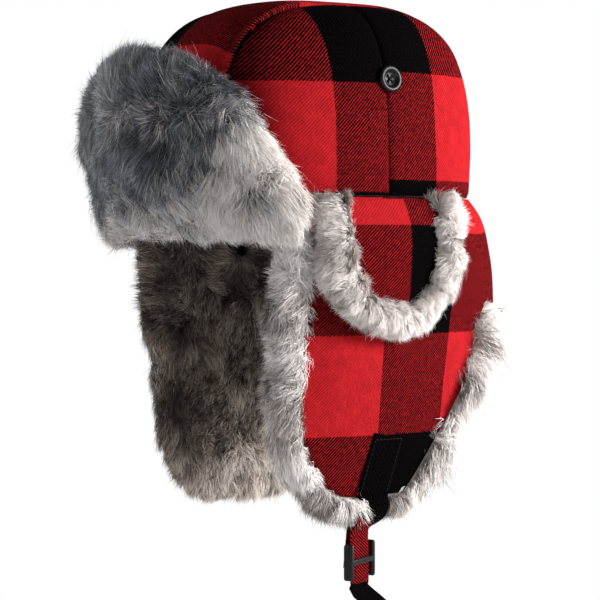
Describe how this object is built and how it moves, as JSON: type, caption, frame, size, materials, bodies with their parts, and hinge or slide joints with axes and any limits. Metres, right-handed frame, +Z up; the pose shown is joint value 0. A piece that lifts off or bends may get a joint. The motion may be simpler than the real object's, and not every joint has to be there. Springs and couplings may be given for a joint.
{
  "type": "trapper hat",
  "caption": "Plaid wool trapper hat with a boxy padded crown, fur-lined ear flaps, a turned-up fur front flap, button-up ear covers and a chin strap.",
  "frame": {"origin": "middle of the head opening, on the crown's bottom seam", "axes": "+Z up through the crown, -Y towards the brow, +X towards the wearer's left"},
  "size_m": [0.2074, 0.2843, 0.466],
  "materials": {
    "plaid_wool": "brushed wool twill in red and black check",
    "strap_fabric": "the same plaid, folded and stitched",
    "grey_fur": "rabbit fur, charcoal with light tips",
    "light_fur": "rabbit fur, light grey with darker patches",
    "dark_fur": "rabbit fur, dark brown with taupe streaks",
    "white_fur": "rabbit fur, off-white",
    "padding": "polyester wadding",
    "quilted_lining": "black quilted satin",
    "black_plastic": "moulded, slightly glossy"
  },
  "bodies": {
    "crown": {"crown_centre_panel": "plaid_wool", "crown_side_left_front": "plaid_wool", "crown_side_left_rear": "plaid_wool", "crown_side_right_front": "plaid_wool", "crown_side_right_rear": "plaid_wool", "crown_padding": "padding", "crown_lining": "quilted_lining", "crown_button_left": "black_plastic", "crown_button_right": "black_plastic"},
    "front_flap": {"front_flap_shell": "plaid_wool", "front_flap_fur": "grey_fur"},
    "neck_flap": {"neck_flap_shell": "plaid_wool", "neck_flap_fur": "light_fur"},
    "ear_flap_left": {"ear_flap_left_shell": "plaid_wool", "ear_flap_left_fur": "light_fur", "strap_left_sewn_end": "strap_fabric"},
    "ear_flap_right": {"ear_flap_right_shell": "plaid_wool", "ear_flap_right_fur": "dark_fur", "strap_right_sewn_end": "strap_fabric"},
    "ear_cover_left": {"ear_cover_left_shell": "plaid_wool", "ear_cover_left_fur": "white_fur"},
    "ear_cover_right": {"ear_cover_right_shell": "plaid_wool", "ear_cover_right_fur": "white_fur"},
    "chin_strap": {"chin_strap": "strap_fabric", "buckle_plug": "black_plastic"},
    "strap_slider": {"strap_slider": "black_plastic", "strap_tail": "strap_fabric"},
    "buckle_tab": {"strap_right_tab": "strap_fabric", "buckle_socket": "black_plastic"}
  },
  "joints": [
    {"name": "front_flap_fold", "type": "hinge", "parent": "crown", "child": "front_flap", "pos_m": [0, -0.108, -0.022], "axis": [1, 0, 0], "range_deg": [0, 130]},
    {"name": "neck_flap_fold", "type": "hinge", "parent": "crown", "child": "neck_flap", "pos_m": [0, 0.118, -0.002], "axis": [1, 0, 0], "range_deg": [0, 145]},
    {"name": "ear_flap_left_fold", "type": "hinge", "parent": "crown", "child": "ear_flap_left", "pos_m": [0.098, 0, -0.002], "axis": [0, -1, 0], "range_deg": [0, 170]},
    {"name": "ear_flap_right_fold", "type": "hinge", "parent": "crown", "child": "ear_flap_right", "pos_m": [-0.098, 0, -0.002], "axis": [0, 1, 0], "range_deg": [0, 170]},
    {"name": "ear_cover_left_fold", "type": "hinge", "parent": "ear_flap_left", "child": "ear_cover_left", "pos_m": [0.1, 0, -0.001], "axis": [0, -1, 0], "range_deg": [0, 180]},
    {"name": "ear_cover_right_fold", "type": "hinge", "parent": "ear_flap_right", "child": "ear_cover_right", "pos_m": [-0.1, 0, -0.001], "axis": [0, 1, 0], "range_deg": [0, 180]},
    {"name": "chin_strap_swing", "type": "hinge", "parent": "ear_flap_left", "child": "chin_strap", "pos_m": [0.0805, -0.006, -0.193], "axis": [0, -1, 0], "range_deg": [0, 65]},
    {"name": "strap_slider_slide", "type": "slide", "parent": "chin_strap", "child": "strap_slider", "axis": [0, 0, -1], "range_m": [-0.0015, 0.003]},
    {"name": "buckle_tab_swing", "type": "hinge", "parent": "ear_flap_right", "child": "buckle_tab", "pos_m": [-0.0873, 0.003, -0.1385], "axis": [0, 1, 0], "range_deg": [0, 70]}
  ]
}
